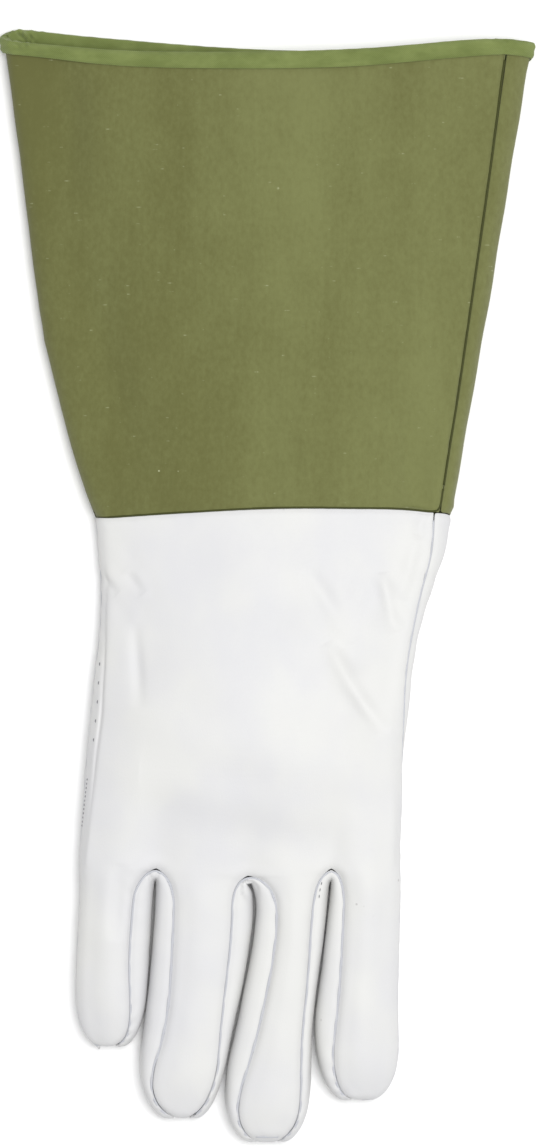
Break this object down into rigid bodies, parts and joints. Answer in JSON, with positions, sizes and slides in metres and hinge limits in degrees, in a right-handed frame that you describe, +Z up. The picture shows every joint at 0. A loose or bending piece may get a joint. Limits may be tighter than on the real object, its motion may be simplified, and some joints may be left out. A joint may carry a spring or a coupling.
{
  "type": "rose pruning gauntlet",
  "caption": "Right-hand pruning gauntlet lying on its palm: long flared canvas cuff with a taped rim, white leather hand and fingers.",
  "frame": {"origin": "middle of the outline on the surface that the glove lies on", "axes": "+Y out of the cuff's mouth, +Z up off the back of the hand, -X the little finger's side"},
  "size_m": [0.1951, 0.4038, 0.0261],
  "materials": {
    "canvas": "matte",
    "tape": "matte",
    "leather": "satin"
  },
  "bodies": {
    "root": {"cuff_back": "canvas", "cuff_palm": "canvas", "hem_tape": "tape", "hand_back": "leather", "hand_palm": "leather", "thumb": "leather", "fourchette_little_ring": "leather", "fourchette_ring_middle": "leather", "fourchette_middle_index": "leather"}
  },
  "joints": []
}
